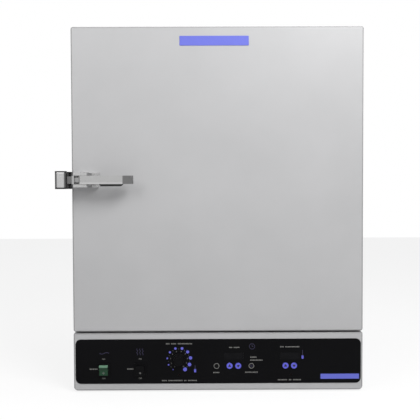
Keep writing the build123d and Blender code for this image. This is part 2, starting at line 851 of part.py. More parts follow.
def latch_base():
    """The cast body on the door: a foot plate and two tapered ears that hold the pivot."""
    inner = lever_height / 2 + ear_gap
    outer = inner + ear_sheet
    left = latch_left
    right = latch_right
    front = ear_front
    points = [(left, 0), (right, 0), (right, 5), (right - 14, 16), (right - 22, front), (left, front)]
    ear = latch_plan(points)
    ear = fillet(ear.vertices().sort_by(Axis.Y)[:2], 5)
    base = latch_slab(ear, outer) - latch_slab(latch_plan([(0, 4), (80, 4), (80, 60), (0, 60)]), inner)
    return base - latch_pin(outer + 1, pivot_radius + shaft_gap)


def latch_pivot_pin():
    """The upright pin through both ears, headed at the top."""
    outer = lever_height / 2 + ear_gap + ear_sheet
    x = door_left + pivot_in
    y = front_y - pivot_out
    head = rod((x, y, latch_z + outer), (x, y, latch_z + outer + 1.6), pivot_radius + 1.6)
    return latch_pin(outer, pivot_radius) + head


def latch_lever():
    """The pull lever: a formed channel, open to the door, with its end bent in for the fingers."""
    front = lever_front
    left = lever_left
    end = lever_end
    points = [(left, 18), (left, front - 3), (left + 3, front), (lever_bend, front)]
    points += [(end - 4, front - 9), (end, front - 14), (end - 2, front - 17), (lever_bend - 4, front - 12)]
    points += [(64, front - 13), (46, 18)]
    plan = latch_plan(points)
    hollow = Pos(0, lever_wall) * plan + latch_plan([(left - 9, 0), (80, 0), (80, 36), (left - 9, 36)])
    lever = latch_slab(plan, lever_height / 2)
    lever -= latch_slab(hollow, lever_height / 2 - lever_wall)
    stop = latch_plan([(78, front - 12), (80, front - 12), (80, front - 1), (78, front - 1)])
    lever += latch_slab(stop, lever_height / 2 - 1)
    return lever - latch_pin(lever_height, pivot_radius + shaft_gap)


def latch_bolt():
    """The spring bolt: a bevelled tongue, a cross head and a fork that slides on the pivot pin."""
    low = pivot_out - bolt_width / 2
    high = pivot_out + bolt_width / 2
    head = bolt_head_left
    neck = head + bolt_head
    tip = bolt_tip
    tongue = latch_plan([(tip, high - 2.5), (tip, high), (head, high), (head, low), (tip + 7, low)])
    bolt = latch_slab(tongue, bolt_height / 2)
    cross = latch_plan([(head, low - 2), (neck, low - 2), (neck, high + 8), (head, high + 5)])
    bolt += latch_slab(cross, lever_height / 2)
    arm = latch_plan([(neck, low - 3), (lever_left, low - 3), (lever_left, high + 3), (neck, high + 3)])
    bolt += latch_slab(arm, lever_height / 2 - 4.3)
    end = bolt_fork
    fork = latch_plan([(lever_left, low - 3), (end, low - 3), (end, high + 3), (lever_left, high + 3)])
    bolt += latch_slab(fork, lever_height / 2 - lever_wall - touch_gap)
    room = pivot_radius + touch_gap
    slot_left = pivot_in - bolt_travel - room
    slot_right = pivot_in + room
    slot = latch_plan([(slot_left, pivot_out - room), (slot_right, pivot_out - room),
                       (slot_right, pivot_out + room), (slot_left, pivot_out + room)])
    return bolt - latch_slab(slot, lever_height)


def latch_screws():
    """Two screw heads on the latch's foot plate."""
    heads = []
    for x in (16, 54):
        start = (door_left + x, front_y - 4, latch_z)
        heads.append(rod(start, (door_left + x, front_y - 6, latch_z), 4))
    return heads


def strike():
    """The hooked keeper on the cabinet's side, its lip in front of the tongue."""
    lip_back = pivot_out + bolt_width / 2 + lip_clearance
    lip_front = lip_back + strike_wall
    out = strike_left
    wall = strike_wall
    rear = front_y - 58
    seat = front_y - strike_front
    points = [(0, rear), (-strike_base, rear), (-strike_base, seat - 14), (out, seat + 18), (out, lip_front)]
    points += [(strike_lip, lip_front), (strike_lip, lip_back), (out + wall, lip_back)]
    points += [(out + wall, seat + 21), (0, seat - 8)]
    body = latch_plan(points)
    hook = latch_slab(body, strike_height / 2)
    front = hook.faces().sort_by(Axis.Y)[0]
    hook = fillet(front.edges(), strike_round)
    return hook


def strike_screws():
    """Two screw heads on the keeper's foot."""
    x = door_left - strike_base
    y = 43
    rows = (latch_z - 11, latch_z + 11)
    return [rod((x, y, z), (x - 2.5, y, z), 4) for z in rows]


# Cabinet
save("outer_wrap", outer_wrap())
save("base_pan", base_pan())
save("back_panel", back_panel())
save("face_frame", face_frame())
save("deck_plate", deck_plate())
save("chamber_liner", chamber_liner())
save("insulation", insulation())
save("chamber_floor", chamber_floor())
save("floor_rails", *floor_supports())
save("heater_elements", heater_element(-1), heater_element(1))
save("heater_brackets", *heater_brackets())
save("shelf_standards", *shelf_standards())
clip_places = [(side, y) for side in (-1, 1) for y in standard_ys()]
shelf_levels = [shelf_level(slot) for slot in shelf_slots]
save("shelf_clips", *[shelf_clip(*place, level) for level in shelf_levels for place in clip_places])
save("shelf_lower", wire_shelf(shelf_slots[0]))
save("shelf_upper", wire_shelf(shelf_slots[1]))
save("temperature_probe", probe(probe_places[0], temperature_reach))
save("limit_probe", probe(probe_places[1], limit_reach))
save("exhaust_tube", exhaust_tube())
save("intake_tube", intake_tube())
save("vent_cover", vent_cover())
save("vent_damper", vent_damper())
save("vent_screw", vent_screw())
foot_places = [(side * (half - foot_inset), y) for side in (-1, 1) for y in foot_rows]
save("feet", *[foot(x, y) for x, y in foot_places])

# Controls
save("control_housing", control_housing())
save("control_overlay", control_overlay())
save("timer_display", display(timer_display_x))
save("temperature_display", display(temperature_display_x))
save("power_switch_frame", switch_frame(power_switch_x))
save("power_rocker", rocker(power_switch_x))
save("timer_switch_frame", switch_frame(timer_switch_x))
save("timer_rocker", rocker(timer_switch_x))
save("limit_thermostat", limit_thermostat())
save("limit_shaft", limit_shaft())
save("limit_knob", limit_knob())
for name, x in button_places().items():
    save(name, button(x))
save("signal_lamps", *[lamp(x) for x in lamp_xs()])
save("control_board", control_board())
save("power_relay", power_relay())
save("terminal_block", terminal_block())
save("power_inlet", power_inlet())

# Door and its hinges
save("door_skin", door_skin())
save("door_inner_panel", door_inner_panel())
save("door_insulation", door_insulation())
save("door_gasket", door_gasket())
save("hinge_leaves_cabinet", *[hinge_leaf(low, False) for low in hinge_levels()])
save("hinge_leaves_door", *[hinge_leaf(low, True) for low in hinge_levels()])
save("hinge_pins", *[hinge_pin(low) for low in hinge_levels()])

# Latch
save("latch_base", latch_base())
save("latch_pivot_pin", latch_pivot_pin())
save("latch_lever", latch_lever())
save("latch_bolt", latch_bolt())
save("strike", strike())
save("door_screws", *hinge_screws(True), *latch_screws())
save("cabinet_screws", *hinge_screws(False), *strike_screws())
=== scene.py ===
import json
import math

import bmesh
import bpy
import numpy as np
from mathutils import Matrix, Vector


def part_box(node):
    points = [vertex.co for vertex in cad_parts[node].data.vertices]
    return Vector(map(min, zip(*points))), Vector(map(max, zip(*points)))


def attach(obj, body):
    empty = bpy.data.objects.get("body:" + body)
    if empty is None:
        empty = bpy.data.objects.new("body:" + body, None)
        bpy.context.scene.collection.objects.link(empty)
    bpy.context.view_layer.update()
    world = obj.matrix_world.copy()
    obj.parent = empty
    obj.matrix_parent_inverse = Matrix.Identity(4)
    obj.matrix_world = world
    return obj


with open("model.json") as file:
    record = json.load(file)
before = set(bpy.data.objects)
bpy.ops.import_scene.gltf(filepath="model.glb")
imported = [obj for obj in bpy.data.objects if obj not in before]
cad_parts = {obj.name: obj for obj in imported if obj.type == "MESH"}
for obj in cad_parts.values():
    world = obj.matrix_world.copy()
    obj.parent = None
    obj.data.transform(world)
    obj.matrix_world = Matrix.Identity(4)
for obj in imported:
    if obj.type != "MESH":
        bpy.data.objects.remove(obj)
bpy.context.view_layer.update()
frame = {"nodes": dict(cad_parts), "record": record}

bl_info = {
    "name": "Bench Oven Looks",
    "version": (1, 0, 0),
    "blender": (4, 5, 0),
    "location": "View3D > Sidebar > Oven",
    "description": "Finishes, markings, plates and studio for a bench convection oven",
    "category": "Object",
}

mm = 0.001


def centre(node):
    """The middle of a node's box."""
    low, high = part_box(node)
    return [(a + b) / 2 for a, b in zip(low, high)]


class Value:
    """A socket whose arithmetic adds Math nodes."""

    def __init__(self, graph, socket):
        self.graph = graph
        self.socket = socket

    def join(self, kind, first, second):
        return self.graph.add("ShaderNodeMath", {"operation": kind}, {0: first, 1: second})

    def __add__(self, other):
        return self.join("ADD", self, other)

    def __sub__(self, other):
        return self.join("SUBTRACT", self, other)

    def __mul__(self, other):
        return self.join("MULTIPLY", self, other)

    def __rmul__(self, other):
        return self.join("MULTIPLY", other, self)


class Graph:
    """A node tree that takes nodes, links and numbers."""

    def __init__(self, tree):
        self.nodes = tree.nodes
        self.links = tree.links

    def add(self, kind, settings=None, inputs=None, output=0):
        """A node of any type: its settings first, then its sockets' values or links."""
        node = self.nodes.new(kind)
        for key, value in (settings or {}).items():
            setattr(node, key, value)
        for key, value in (inputs or {}).items():
            self.feed(node.inputs[key], value)
        return Value(self, node.outputs[output])

    def feed(self, socket, value):
        """Link a socket to a Value, or set its number."""
        if isinstance(value, Value):
            self.links.new(value.socket, socket)
        else:
            socket.default_value = value


class Finish(Graph):
    """One material's nodes, with a Principled surface at their end."""

    def __init__(self, name):
        self.material = bpy.data.materials.new(name)
        self.material.use_nodes = True
        super().__init__(self.material.node_tree)
        self.surface = self.nodes["Principled BSDF"]

    def place(self, stretch=(1, 1, 1)):
        """Object coordinates, scaled on each axis."""
        where = self.add("ShaderNodeTexCoord", output=3)
        return self.add("ShaderNodeMapping", inputs={0: where, 3: stretch})

    def noise(self, scale, detail=2.0, rough=0.5, stretch=(1, 1, 1)):
        """Soft random grain between 0 and 1."""
        inputs = {"Vector": self.place(stretch), "Scale": scale, "Detail": detail, "Roughness": rough}
        return self.add("ShaderNodeTexNoise", inputs=inputs)

    def span(self, value, low, high, start=0.0, stop=1.0):
        """A value's range mapped onto another, without running past its ends."""
        inputs = {0: value, 1: start, 2: stop, 3: low, 4: high}
        return self.add("ShaderNodeMapRange", {"clamp": True}, inputs)

    def tint(self, factor, first, second):
        """Two colours mixed by a value."""
        inputs = {0: factor, 6: (*first, 1), 7: (*second, 1)}
        return self.add("ShaderNodeMix", {"data_type": "RGBA"}, inputs, output=2)

    def axis(self, number):
        """One of the Object coordinates, in metres."""
        return self.add("ShaderNodeSeparateXYZ", inputs={0: self.place()}, output=number)

    def rise(self, value, place, soft=0.0006):
        """From 0 below a place to 1 above it, over a soft step."""
        return self.span(value, 0, 1, place - soft, place + soft)

    def fall(self, value, place, soft=0.0006):
        """From 1 below a place to 0 above it, over a soft step."""
        return self.span(value, 1, 0, place - soft, place + soft)

    def most(self, first, *others):
        """The largest of several values."""
        for other in others:
            first = first.join("MAXIMUM", first, other)
        return first

    def over(self, mask, under, colour):
        """A colour laid over another where the mask is 1."""
        inputs = {0: mask, 6: under, 7: (*colour, 1)}
        return self.add("ShaderNodeMix", {"data_type": "RGBA"}, inputs, output=2)

    def bump(self, height, strength, depth):
        """A height turned into a change of the surface's slope."""
        inputs = {"Height": height, "Strength": strength, "Distance": depth}
        self.feed(self.surface.inputs["Normal"], self.add("ShaderNodeBump", inputs=inputs))

    def set(self, **sockets):
        """Set the surface's sockets by name, with underscores for spaces."""
        for key, value in sockets.items():
            self.feed(self.surface.inputs[key.replace("_", " ")], value)


def shade(colour, gain):
    """A colour made lighter or darker by a factor."""
    return tuple(min(1.0, part * gain) for part in colour)


def enamel(name, colour, edge_shade=None, depth=0.6):
    """Sprayed enamel: a fine orange peel, faint clouding and a satin face, with painted shade in a band
    along the part's outer edges.
    """
    finish = Finish(name)
    cloud = finish.noise(9, 3)
    peel = finish.noise(700, 2)
    speck = finish.noise(2600, 1)
    mottle = finish.span(cloud + 0.35 * speck, 0, 1, 0.4, 0.95)
    paint = finish.tint(mottle, shade(colour, 0.97), shade(colour, 1.03))
    # Painted shade: a band along the left, right, top and bottom edges of the part's box, darkened by the
    # depth factor, stands for dark reflections on the rounded edges.
    if edge_shade:
        low, high, wide = edge_shade
        across, up = finish.axis(0), finish.axis(2)
        edge = finish.most(
            finish.fall(across, low[0] + wide, 0.5 * wide), finish.rise(across, high[0] - wide, 0.5 * wide),
            finish.fall(up, low[2] + wide, 0.5 * wide), finish.rise(up, high[2] - wide, 0.5 * wide),
        )
        paint = finish.over(edge, paint, shade(colour, depth))
    finish.set(Base_Color=paint, Roughness=finish.span(cloud, 0.36, 0.43), Metallic=0.0, IOR=1.5)
    finish.bump(peel + 0.3 * speck, 0.12, 0.0002)
    return finish.material


def brushed(name, colour, along, rough=(0.26, 0.42), polish=1.0):
    """Brushed steel: long fine scratches along one axis, with faint stains."""
    finish = Finish(name)
    stretch = [60.0, 60.0, 60.0]
    stretch[along] = 1.2
    line = finish.noise(16, 4, 0.7, tuple(stretch))
    stain = finish.noise(7, 4)
    tarnish = finish.span(line * 0.7 + stain * 0.3, 0, 1, 0.3, 0.7)
    metal = finish.tint(tarnish, shade(colour, 0.86), colour)
    satin = finish.span(line, rough[0], rough[1], 0.25, 0.75)
    finish.set(Base_Color=metal, Metallic=polish, Roughness=satin)
    finish.bump(line, 0.08, 0.0002)
    return finish.material


def plated(name, colour, rough=(0.12, 0.24), painted_tones=None):
    """Satin plating on a casting: ripple, small pits, handling haze, and painted highlights and shade laid
    over by place.
    """
    finish = Finish(name)
    ripple = finish.noise(90, 2)
    haze = finish.noise(34, 4, 0.6)
    pit = finish.span(finish.noise(900, 2), 0, 1, 0.62, 0.72)
    metal = finish.tint(pit, colour, shade(colour, 0.75))
    # Painted highlights and shade, by place, laid over the plating's colour.
    for mask, tone in (painted_tones(finish) if painted_tones else ()):
        metal = finish.over(mask, metal, tone)
    finish.set(Base_Color=metal, Metallic=1.0, Roughness=finish.span(haze, rough[0], rough[1], 0.3, 0.7))
    finish.bump(ripple - 0.4 * pit, 0.10, 0.0003)
    return finish.material


def strike_painted_shade(finish):
    """Painted shade: darker rounded sides and near black top and bottom ends round the strike's front face.
    """
    low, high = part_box("strike")
    across, deep, up = finish.axis(0), finish.axis(1), finish.axis(2)
    front = finish.fall(deep, low[1] + 9 * mm)
    outer = finish.fall(across, low[0] + 5 * mm, 0.0012)
    inner = finish.rise(across, low[0] + 21 * mm, 0.0012)
    sides = finish.most(outer, inner)
    ends = finish.most(finish.fall(up, low[2] + 3.4 * mm), finish.rise(up, high[2] - 3.4 * mm))
    # Both colours are painted shade, for the dark reflections and shadow on the strike's rounded edges.
    return (front * sides, (0.10, 0.10, 0.10)), (front * ends, (0.012, 0.012, 0.012))


def lever_painted_light(finish):
    """A painted highlight along the lever's lower edge, and painted shade on the turned-in end and on its
    last strip.
    """
    low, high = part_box("latch_lever")
    across, up = finish.axis(0), finish.axis(2)
    strip = finish.fall(up, low[2] + 3.6 * mm, 0.001)
    end = finish.rise(across, high[0] - 22.3 * mm)
    last = finish.rise(across, high[0] - 4.5 * mm)
    # The strip's colour is a painted highlight; the colours of the end and of the last strip are painted
    # shade.
    return (strip, (0.50, 0.50, 0.50)), (end, (0.16, 0.16, 0.16)), (last, (0.22, 0.22, 0.22))


def bolt_painted_shade(finish):
    """Painted shade on the bolt: a dark tongue, and a cross piece darker than the neck but lighter than the
    tongue.
    """
    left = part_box("latch_bolt")[0][0]
    across = finish.axis(0)
    tongue = finish.fall(across, left + 16 * mm)
    head = finish.rise(across, left + 22.5 * mm)
    # Both colours are painted shade laid over the plating.
    return (tongue, (0.15, 0.15, 0.15)), (head, (0.30, 0.30, 0.30))


def moulded(name, colour, rough=(0.38, 0.5), shine=0.5, grain=1600):
    """Moulded plastic: a fine spark texture and a trace of dust in its shade."""
    finish = Finish(name)
    spark = finish.noise(grain, 2)
    dust = finish.noise(60, 4, 0.6)
    dusty = tuple(part * 1.12 + 0.002 for part in colour)
    tone = finish.tint(finish.span(dust, 0, 1, 0.35, 0.75), colour, dusty)
    finish.set(Base_Color=tone, Roughness=finish.span(spark, rough[0], rough[1], 0.3, 0.7))
    finish.set(Specular_IOR_Level=shine)
    finish.bump(spark, 0.10, 0.0001)
    return finish.material


def soft(name, colour):
    """Rubber or silicone: matt, with a fine powdery skin."""
    finish = Finish(name)
    skin = finish.noise(500, 3)
    bloom = finish.noise(40, 3)
    powdery = tuple(part * 1.25 + 0.004 for part in colour)
    tone = finish.tint(finish.span(bloom, 0, 1, 0.35, 0.7), colour, powdery)
    finish.set(Base_Color=tone, Roughness=finish.span(skin, 0.62, 0.8))
    finish.bump(skin, 0.25, 0.0003)
    return finish.material


def wool(name, colour):
    """Mineral wool: tangled short fibres with darker flecks."""
    finish = Finish(name)
    fibre = finish.noise(420, 6, 0.75, (1, 3, 0.6))
    clump = finish.noise(45, 3)
    tone = finish.tint(finish.span(fibre * 0.7 + clump * 0.3, 0, 1, 0.3, 0.7), shade(colour, 0.6), colour)
    finish.set(Base_Color=tone, Roughness=finish.span(clump, 0.85, 0.98))
    finish.bump(fibre, 0.8, 0.002)
    return finish.material


def laminate(name, colour):
    """Circuit board: green resist over a faint weave of tracks."""
    finish = Finish(name)
    track = finish.span(finish.noise(160, 0, 0.5, (1, 1, 4)), 0, 1, 0.48, 0.52)
    tone = finish.tint(track, colour, shade(colour, 1.6))
    finish.set(Base_Color=tone, Roughness=finish.span(track, 0.3, 0.42))
    finish.bump(track, 0.2, 0.0001)
    return finish.material


def film(name, colour):
    """The faceplate's printed film: near black, satin, with the faintest texture."""
    finish = Finish(name)
    grain = finish.noise(2200, 2)
    smear = finish.noise(12, 3)
    tone = finish.tint(finish.span(smear, 0, 1, 0.3, 0.7), colour, shade(colour, 1.25))
    finish.set(Base_Color=tone, Roughness=finish.span(smear, 0.42, 0.5), Specular_IOR_Level=0.05)
    finish.bump(grain, 0.06, 0.0001)
    return finish.material


def rocker_with_painted_highlight(name, colour, bright):
    """The green switch's rocker: clear green plastic, with a painted highlight as a paler strip along its
    top edge.
    """
    finish = Finish(name)
    spark = finish.noise(900, 2)
    low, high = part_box("power_rocker")
    tall = high[2] - low[2]
    # Painted highlight: the band near the rocker's top takes the paler colour.
    highlight_band = finish.span(finish.axis(2), 0, 1, low[2] + 0.78 * tall, low[2] + 0.84 * tall)
    finish.set(Base_Color=finish.tint(highlight_band, colour, bright), Roughness=finish.span(spark, 0.22, 0.3))
    finish.set(Specular_IOR_Level=0.15)
    finish.bump(spark, 0.06, 0.0001)
    return finish.material


def ink(name, colour):
    """Printed ink: an even tone with the slight mottle of a screen print."""
    finish = Finish(name)
    mottle = finish.noise(1400, 3)
    tone = finish.tint(finish.span(mottle, 0, 1, 0.3, 0.7), shade(colour, 0.9), colour)
    finish.set(Base_Color=tone, Roughness=finish.span(mottle, 0.4, 0.55))
    return finish.material


# Flat shapes: points in the plane of a face, in mm, heights above it, and faces


def circle(radius, count=40):
    """Radius times (cos a, sin a), for a full turn of a."""
    turn = np.arange(count) * 2 * np.pi / count
    return radius * np.column_stack([np.cos(turn), np.sin(turn)])


def cornered(width, height, corner, count=6):
    """A rectangle with quarter circles at its corners: each middle plus its radius times (cos, sin)."""
    turn = np.linspace(0, np.pi / 2, count)
    quarter = np.arange(4)[:, None] * np.pi / 2 + turn
    middle = np.array([[1, 1], [-1, 1], [-1, -1], [1, -1]]) * [width / 2 - corner, height / 2 - corner]
    arc = corner * np.stack([np.cos(quarter), np.sin(quarter)], axis=2)
    return (middle[:, None, :] + arc).reshape(-1, 2)


def triangle(radius, up, count=8):
    """A three-pointed shape with round corners, as three small arcs about the corners of a triangle."""
    first = np.pi / 2 if up else -np.pi / 2
    aim = first + np.arange(3)[:, None] * 2 * np.pi / 3
    corner = 0.25 * radius
    arc = aim + np.linspace(-np.pi / 3, np.pi / 3, count)
    middle = (radius - corner) * np.stack([np.cos(aim), np.sin(aim)], axis=2)
    return (middle + corner * np.stack([np.cos(arc), np.sin(arc)], axis=2)).reshape(-1, 2)


def strips(rows, count, wrap):
    """The four-sided faces between neighbouring rows of points; wrap joins the last row to the first."""
    row = np.arange(rows if wrap else rows - 1)[:, None] * count
    here = np.arange(count)
    after = (here + 1) % count
    below = (row + count) % (rows * count)
    return np.stack([row + here, below + here, below + after, row + after], axis=2).reshape(-1, 4).tolist()


def cushion(outline, thick, rim=0.0):
    """A low closed patch: the outline drawn in to its middle in steps, the height falling at its rim."""
    middle = outline.mean(axis=0)
    reach = np.array([0.5, 0.9 if rim == 0 else 1 - rim, 1.0, 1.0])
    height = np.array([1.0, 1.0, 0.55, 0.0]) * thick
    count = len(outline)
    flat = (middle + reach[:, None, None] * (outline - middle)).reshape(-1, 2)
    faces = strips(4, count, False)
    here = np.arange(count)
    after = (here + 1) % count
    front, back = 4 * count, 4 * count + 1
    faces += np.column_stack([np.full(count, front), here, after]).tolist()
    faces += np.column_stack([np.full(count, back), 3 * count + after, 3 * count + here]).tolist()
    return np.vstack([flat, middle, middle]), np.append(np.repeat(height, count), [thick, 0.0]), faces


def hoop(outer, line, thick, count=48):
    """A low ring: a flat-topped profile carried round a circle and closed both ways."""
    across = np.array([0.0, 0.0, 0.15, 0.85, 1.0, 1.0])
    height = np.array([0.0, 0.6, 1.0, 1.0, 0.6, 0.0]) * thick
    flat = ((outer - line * across)[:, None, None] * circle(1.0, count)).reshape(-1, 2)
    return flat, np.repeat(height, count), strips(6, count, True)


def stroke(path, width, thick):
    """A drawn line: the same profile carried along a path of points, square to it, with both ends closed."""
    path = np.asarray(path, float)
    along = np.gradient(path, axis=0)
    along /= np.linalg.norm(along, axis=1)[:, None]
    side = np.column_stack([-along[:, 1], along[:, 0]])
    across = np.array([-0.5, -0.5, -0.35, 0.35, 0.5, 0.5]) * width
    height = np.array([0.0, 0.6, 1.0, 1.0, 0.6, 0.0]) * thick
    flat = (path[:, None, :] + across[None, :, None] * side[:, None, :]).reshape(-1, 2)
    last = 6 * (len(path) - 1)
    faces = strips(len(path), 6, False) + [[0, 1, 2, 3, 4, 5], [last + i for i in (5, 4, 3, 2, 1, 0)]]
    return flat, np.tile(height, len(path)), faces


def lettering(text, size, thick):
    """Letters or numbers from a font, made a mesh before they are placed."""
    curve = bpy.data.curves.new("letters", "FONT")
    curve.body = text
    curve.size = size
    curve.extrude = thick / 2
    curve.resolution_u = 3
    curve.align_x = "CENTER"
    curve.align_y = "CENTER"
    holder = bpy.data.objects.new("letters", curve)
    mesh = bpy.data.meshes.new_from_object(holder)
    points = np.zeros(len(mesh.vertices) * 3)
    mesh.vertices.foreach_get("co", points)
    points = points.reshape(-1, 3)
    faces = [list(face.vertices) for face in mesh.polygons]
    bpy.data.objects.remove(holder)
    bpy.data.curves.remove(curve)
    bpy.data.meshes.remove(mesh)
    return points[:, :2], points[:, 2] + thick / 2, faces


def moved(shape, x, y):
    """A flat shape, moved in its plane."""
    flat, height, faces = shape
    return flat + [x, y], height, faces


def small_print(counts, width, height, thick):
    """A line of print too small to read: one upright block for each letter, in words of set lengths."""
    places = [place for word in words_of(counts) for place in word]
    step = width / (sum(counts) + len(counts) - 1)
    block = cushion(cornered(0.62 * step, height, 0.12 * step, 3), thick)
    return [moved(block, (place + 0.5) * step - width / 2, 0.0) for place in places]


def words_of(counts):
    """The places of the letters in words of the given lengths, with one blank between two words."""
    starts = np.cumsum([0] + [count + 1 for count in counts[:-1]])
    return [[int(start) + letter for letter in range(count)] for start, count in zip(starts, counts)]


def seat(node, x, z):
    """Where a line from the front meets a CAD node: its point, and the direction that its face looks in."""
    thing = frame["nodes"][node]
    hit, point, normal, _ = thing.ray_cast(Vector((x, -5.0, z)), Vector((0, 1, 0)))
    if not hit:
        raise RuntimeError(f"nothing of {node} lies behind the place ({x:.4f}, {z:.4f})")
    return np.array(point), np.array(normal)


def piece(name, body, material, shapes, where):
    """Flat shapes laid on a seat and joined as one object: the seat plus across, up and outward steps."""
    point, out = where
    right = np.array([1.0, 0.0, 0.0])
    up = np.cross(out, right)
    points, faces, start = [], [], 0
    for flat, height, polygons in shapes:
        flat = flat * mm
        points.append(point + flat[:, :1] * right + flat[:, 1:] * up + (height * mm)[:, None] * out)
        faces += [[start + corner for corner in polygon] for polygon in polygons]
        start += len(flat)
    solid(name, body, material, np.vstack(points), faces)


def solid(name, body, material, points, faces):
    """One object from closed surfaces, at the origin, with its normals outward, riding on a body."""
    mesh = bpy.data.meshes.new(name)
    mesh.from_pydata(points.tolist(), [], faces)
    tidy = bmesh.new()
    tidy.from_mesh(mesh)
    bmesh.ops.remove_doubles(tidy, verts=tidy.verts, dist=1e-7)
    bmesh.ops.recalc_face_normals(tidy, faces=tidy.faces)
    tidy.to_mesh(mesh)
    tidy.free()
    mesh.materials.append(material)
    thing = bpy.data.objects.new(name, mesh)
    bpy.context.scene.collection.objects.link(thing)
    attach(thing, body)


def lever_shade_strip(name, body, material, start, drop):
    """A black strip of painted shade under the lever's front: half a bar's round section carried along it,
    and closed.
    """
    low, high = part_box("latch_lever")
    run = np.array([low[0] + start, low[0] + start + 4 * mm, high[0] - 26 * mm, high[0] - 21.5 * mm])
    depth = np.array([1.2, 0.4, 0.4, 2.8]) * mm
    tall = np.array([0.25, 1.0, 1.0, 0.3]) * drop
    turn = np.linspace(0, np.pi, 9)
    across = np.append(1 - np.cos(turn), [1.0]) * 4.5 * mm
    fall = np.append(np.sin(turn), [-0.12])
    rows, count = len(run), len(fall)
    x = np.repeat(run, count)
    y = (low[1] + depth[:, None] + across).reshape(-1)
    z = (low[2] + 0.4 * mm - tall[:, None] * fall).reshape(-1)
    ends = [list(range(count)), list(range(rows * count - 1, (rows - 1) * count - 1, -1))]
    faces = strips(rows, count, False) + ends
    solid(name, body, material, np.column_stack([x, y, z]), faces)


def front_seat(node, drop=0.0):
    """The seat on a node's front, straight before its middle or a drop below that, in mm."""
    middle = centre(node)
    return seat(node, middle[0], middle[2] - drop * mm)


def face_seat(x, z):
    """A seat on the black faceplate, measured in mm from its middle."""
    middle = centre("control_overlay")
    return seat("control_overlay", middle[0] + x * mm, middle[2] + z * mm)


def paint_node(node, material):
    """Put a material in every slot of a CAD node's object."""
    thing = frame["nodes"][node]
    thing.data.materials.clear()
    thing.data.materials.append(material)


# What a user would change


class OvenSizes(bpy.types.PropertyGroup):
    """Sizes of the plates and the printed marks."""

    ink: bpy.props.FloatProperty(
        name="Ink", description="Height of the printed marks above their face, in mm",
        default=0.06, min=0.01)
    dial_radius: bpy.props.FloatProperty(
        name="Dial", description="Radius of the ring of dots round the knob, in mm", default=26.6)
    dot_small: bpy.props.FloatProperty(
        name="Smallest dot", description="Width of the dial's first dot, in mm", default=2.4)
    dot_large: bpy.props.FloatProperty(
        name="Largest dot", description="Width of the dial's last dot, in mm", default=9.0)
    number_radius: bpy.props.FloatProperty(
        name="Numbers", description="Radius that the dial's numbers stand at, in mm", default=19.2)
    number_size: bpy.props.FloatProperty(
        name="Number size", description="Letter size of the dial's numbers, in mm", default=4.2)
    word_size: bpy.props.FloatProperty(
        name="Switch words", description="Letter size of the words at the switches, in mm", default=4.4)
    caption_height: bpy.props.FloatProperty(
        name="Captions", description="Height of the small print, in mm", default=2.6)
    door_plate: bpy.props.FloatVectorProperty(
        name="Door plate", description="Width and height of the blank plate on the door, in mm",
        size=2, default=(156.0, 21.6))
    face_plate: bpy.props.FloatVectorProperty(
        name="Faceplate field", description="Width and height of the blank field on the faceplate, in mm",
        size=2, default=(88.0, 11.6))


class OvenColours(bpy.types.PropertyGroup):
    """Colours of the finishes."""

    paint: bpy.props.FloatVectorProperty(
        name="Enamel", description="Colour of the cabinet and the door", size=3, subtype="COLOR",
        default=(0.42, 0.42, 0.425))
    face: bpy.props.FloatVectorProperty(
        name="Faceplate", description="Colour of the faceplate's film", size=3, subtype="COLOR",
        default=(0.0025, 0.0025, 0.003))
    blue: bpy.props.FloatVectorProperty(
        name="Blue", description="Colour of the blue keys and dots", size=3, subtype="COLOR",
        default=(0.115, 0.115, 0.60))
    plate: bpy.props.FloatVectorProperty(
        name="Plate", description="Colour of the blank plates", size=3, subtype="COLOR",
        default=(0.115, 0.135, 0.58))
    grey: bpy.props.FloatVectorProperty(
        name="Print", description="Colour of the grey print", size=3, subtype="COLOR",
        default=(0.20, 0.20, 0.19))
    violet: bpy.props.FloatVectorProperty(
        name="Dim print", description="Colour of the dark violet symbols", size=3, subtype="COLOR",
        default=(0.022, 0.018, 0.060))
    green: bpy.props.FloatVectorProperty(
        name="Green rocker", description="Colour of the power switch's rocker", size=3, subtype="COLOR",
        default=(0.015, 0.050, 0.026))
    # The rocker's top colour is a painted highlight.
    bright: bpy.props.FloatVectorProperty(
        name="Rocker's top", description="Colour of the strip along the green rocker's top", size=3,
        subtype="COLOR", default=(0.13, 0.25, 0.17))


